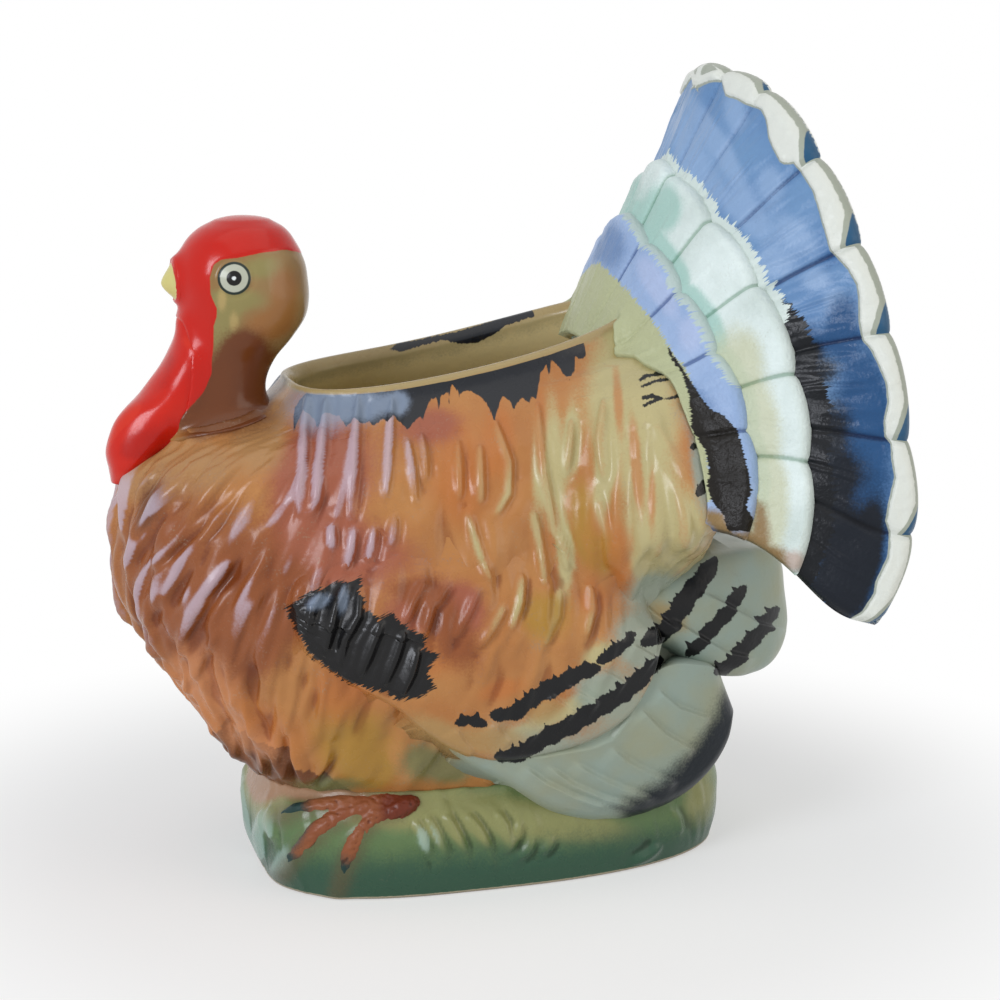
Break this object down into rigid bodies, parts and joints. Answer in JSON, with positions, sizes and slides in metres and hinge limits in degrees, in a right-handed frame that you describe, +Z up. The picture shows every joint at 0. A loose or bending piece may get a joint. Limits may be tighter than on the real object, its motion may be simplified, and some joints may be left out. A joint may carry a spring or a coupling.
{
  "type": "turkey planter",
  "caption": "Glazed ceramic planter shaped as a turkey: open pot in the back, feathered fan tail, wings, wattled head and a grass foot.",
  "frame": {"origin": "centre of the bounding box at foot level", "axes": "+Z up; the bird looks along -X, its tail is at +X; +Y is its right side"},
  "size_m": [0.1654, 0.1404, 0.1843],
  "materials": {
    "green_glaze": "clear gloss over airbrushed green, bare biscuit at the foot line",
    "brown_ochre_glaze": "clear gloss over airbrushed brown, rust and ochre with black brush marks",
    "tan_glaze": "clear gloss over tan, with a red cap",
    "red_glaze": "high gloss red",
    "pale_yellow_glaze": "clear gloss over pale yellow",
    "rust_glaze": "clear gloss over rust fading to sage, with black bars",
    "sage_glaze": "clear gloss over sage green with navy tips",
    "foot_glaze": "clear gloss over red-brown with dark green claws",
    "blue_glaze": "clear gloss over airbrushed blue, with a white edge",
    "mint_white_glaze": "clear gloss over white and mint",
    "pale_blue_glaze": "clear gloss over pale blue, black at the lower feathers"
  },
  "bodies": {
    "root": {"grass_base": "green_glaze", "body_shell": "brown_ochre_glaze", "head_and_neck": "tan_glaze", "wattle": "red_glaze", "beak": "pale_yellow_glaze", "wing_coverts_left": "rust_glaze", "wing_coverts_right": "rust_glaze", "wing_primaries_left": "sage_glaze", "wing_primaries_right": "sage_glaze", "rump_lobe_left": "sage_glaze", "rump_lobe_right": "sage_glaze", "foot_left": "foot_glaze", "foot_right": "foot_glaze", "tail_fan": "blue_glaze", "tail_row_white": "mint_white_glaze", "tail_row_blue": "pale_blue_glaze"}
  },
  "joints": []
}
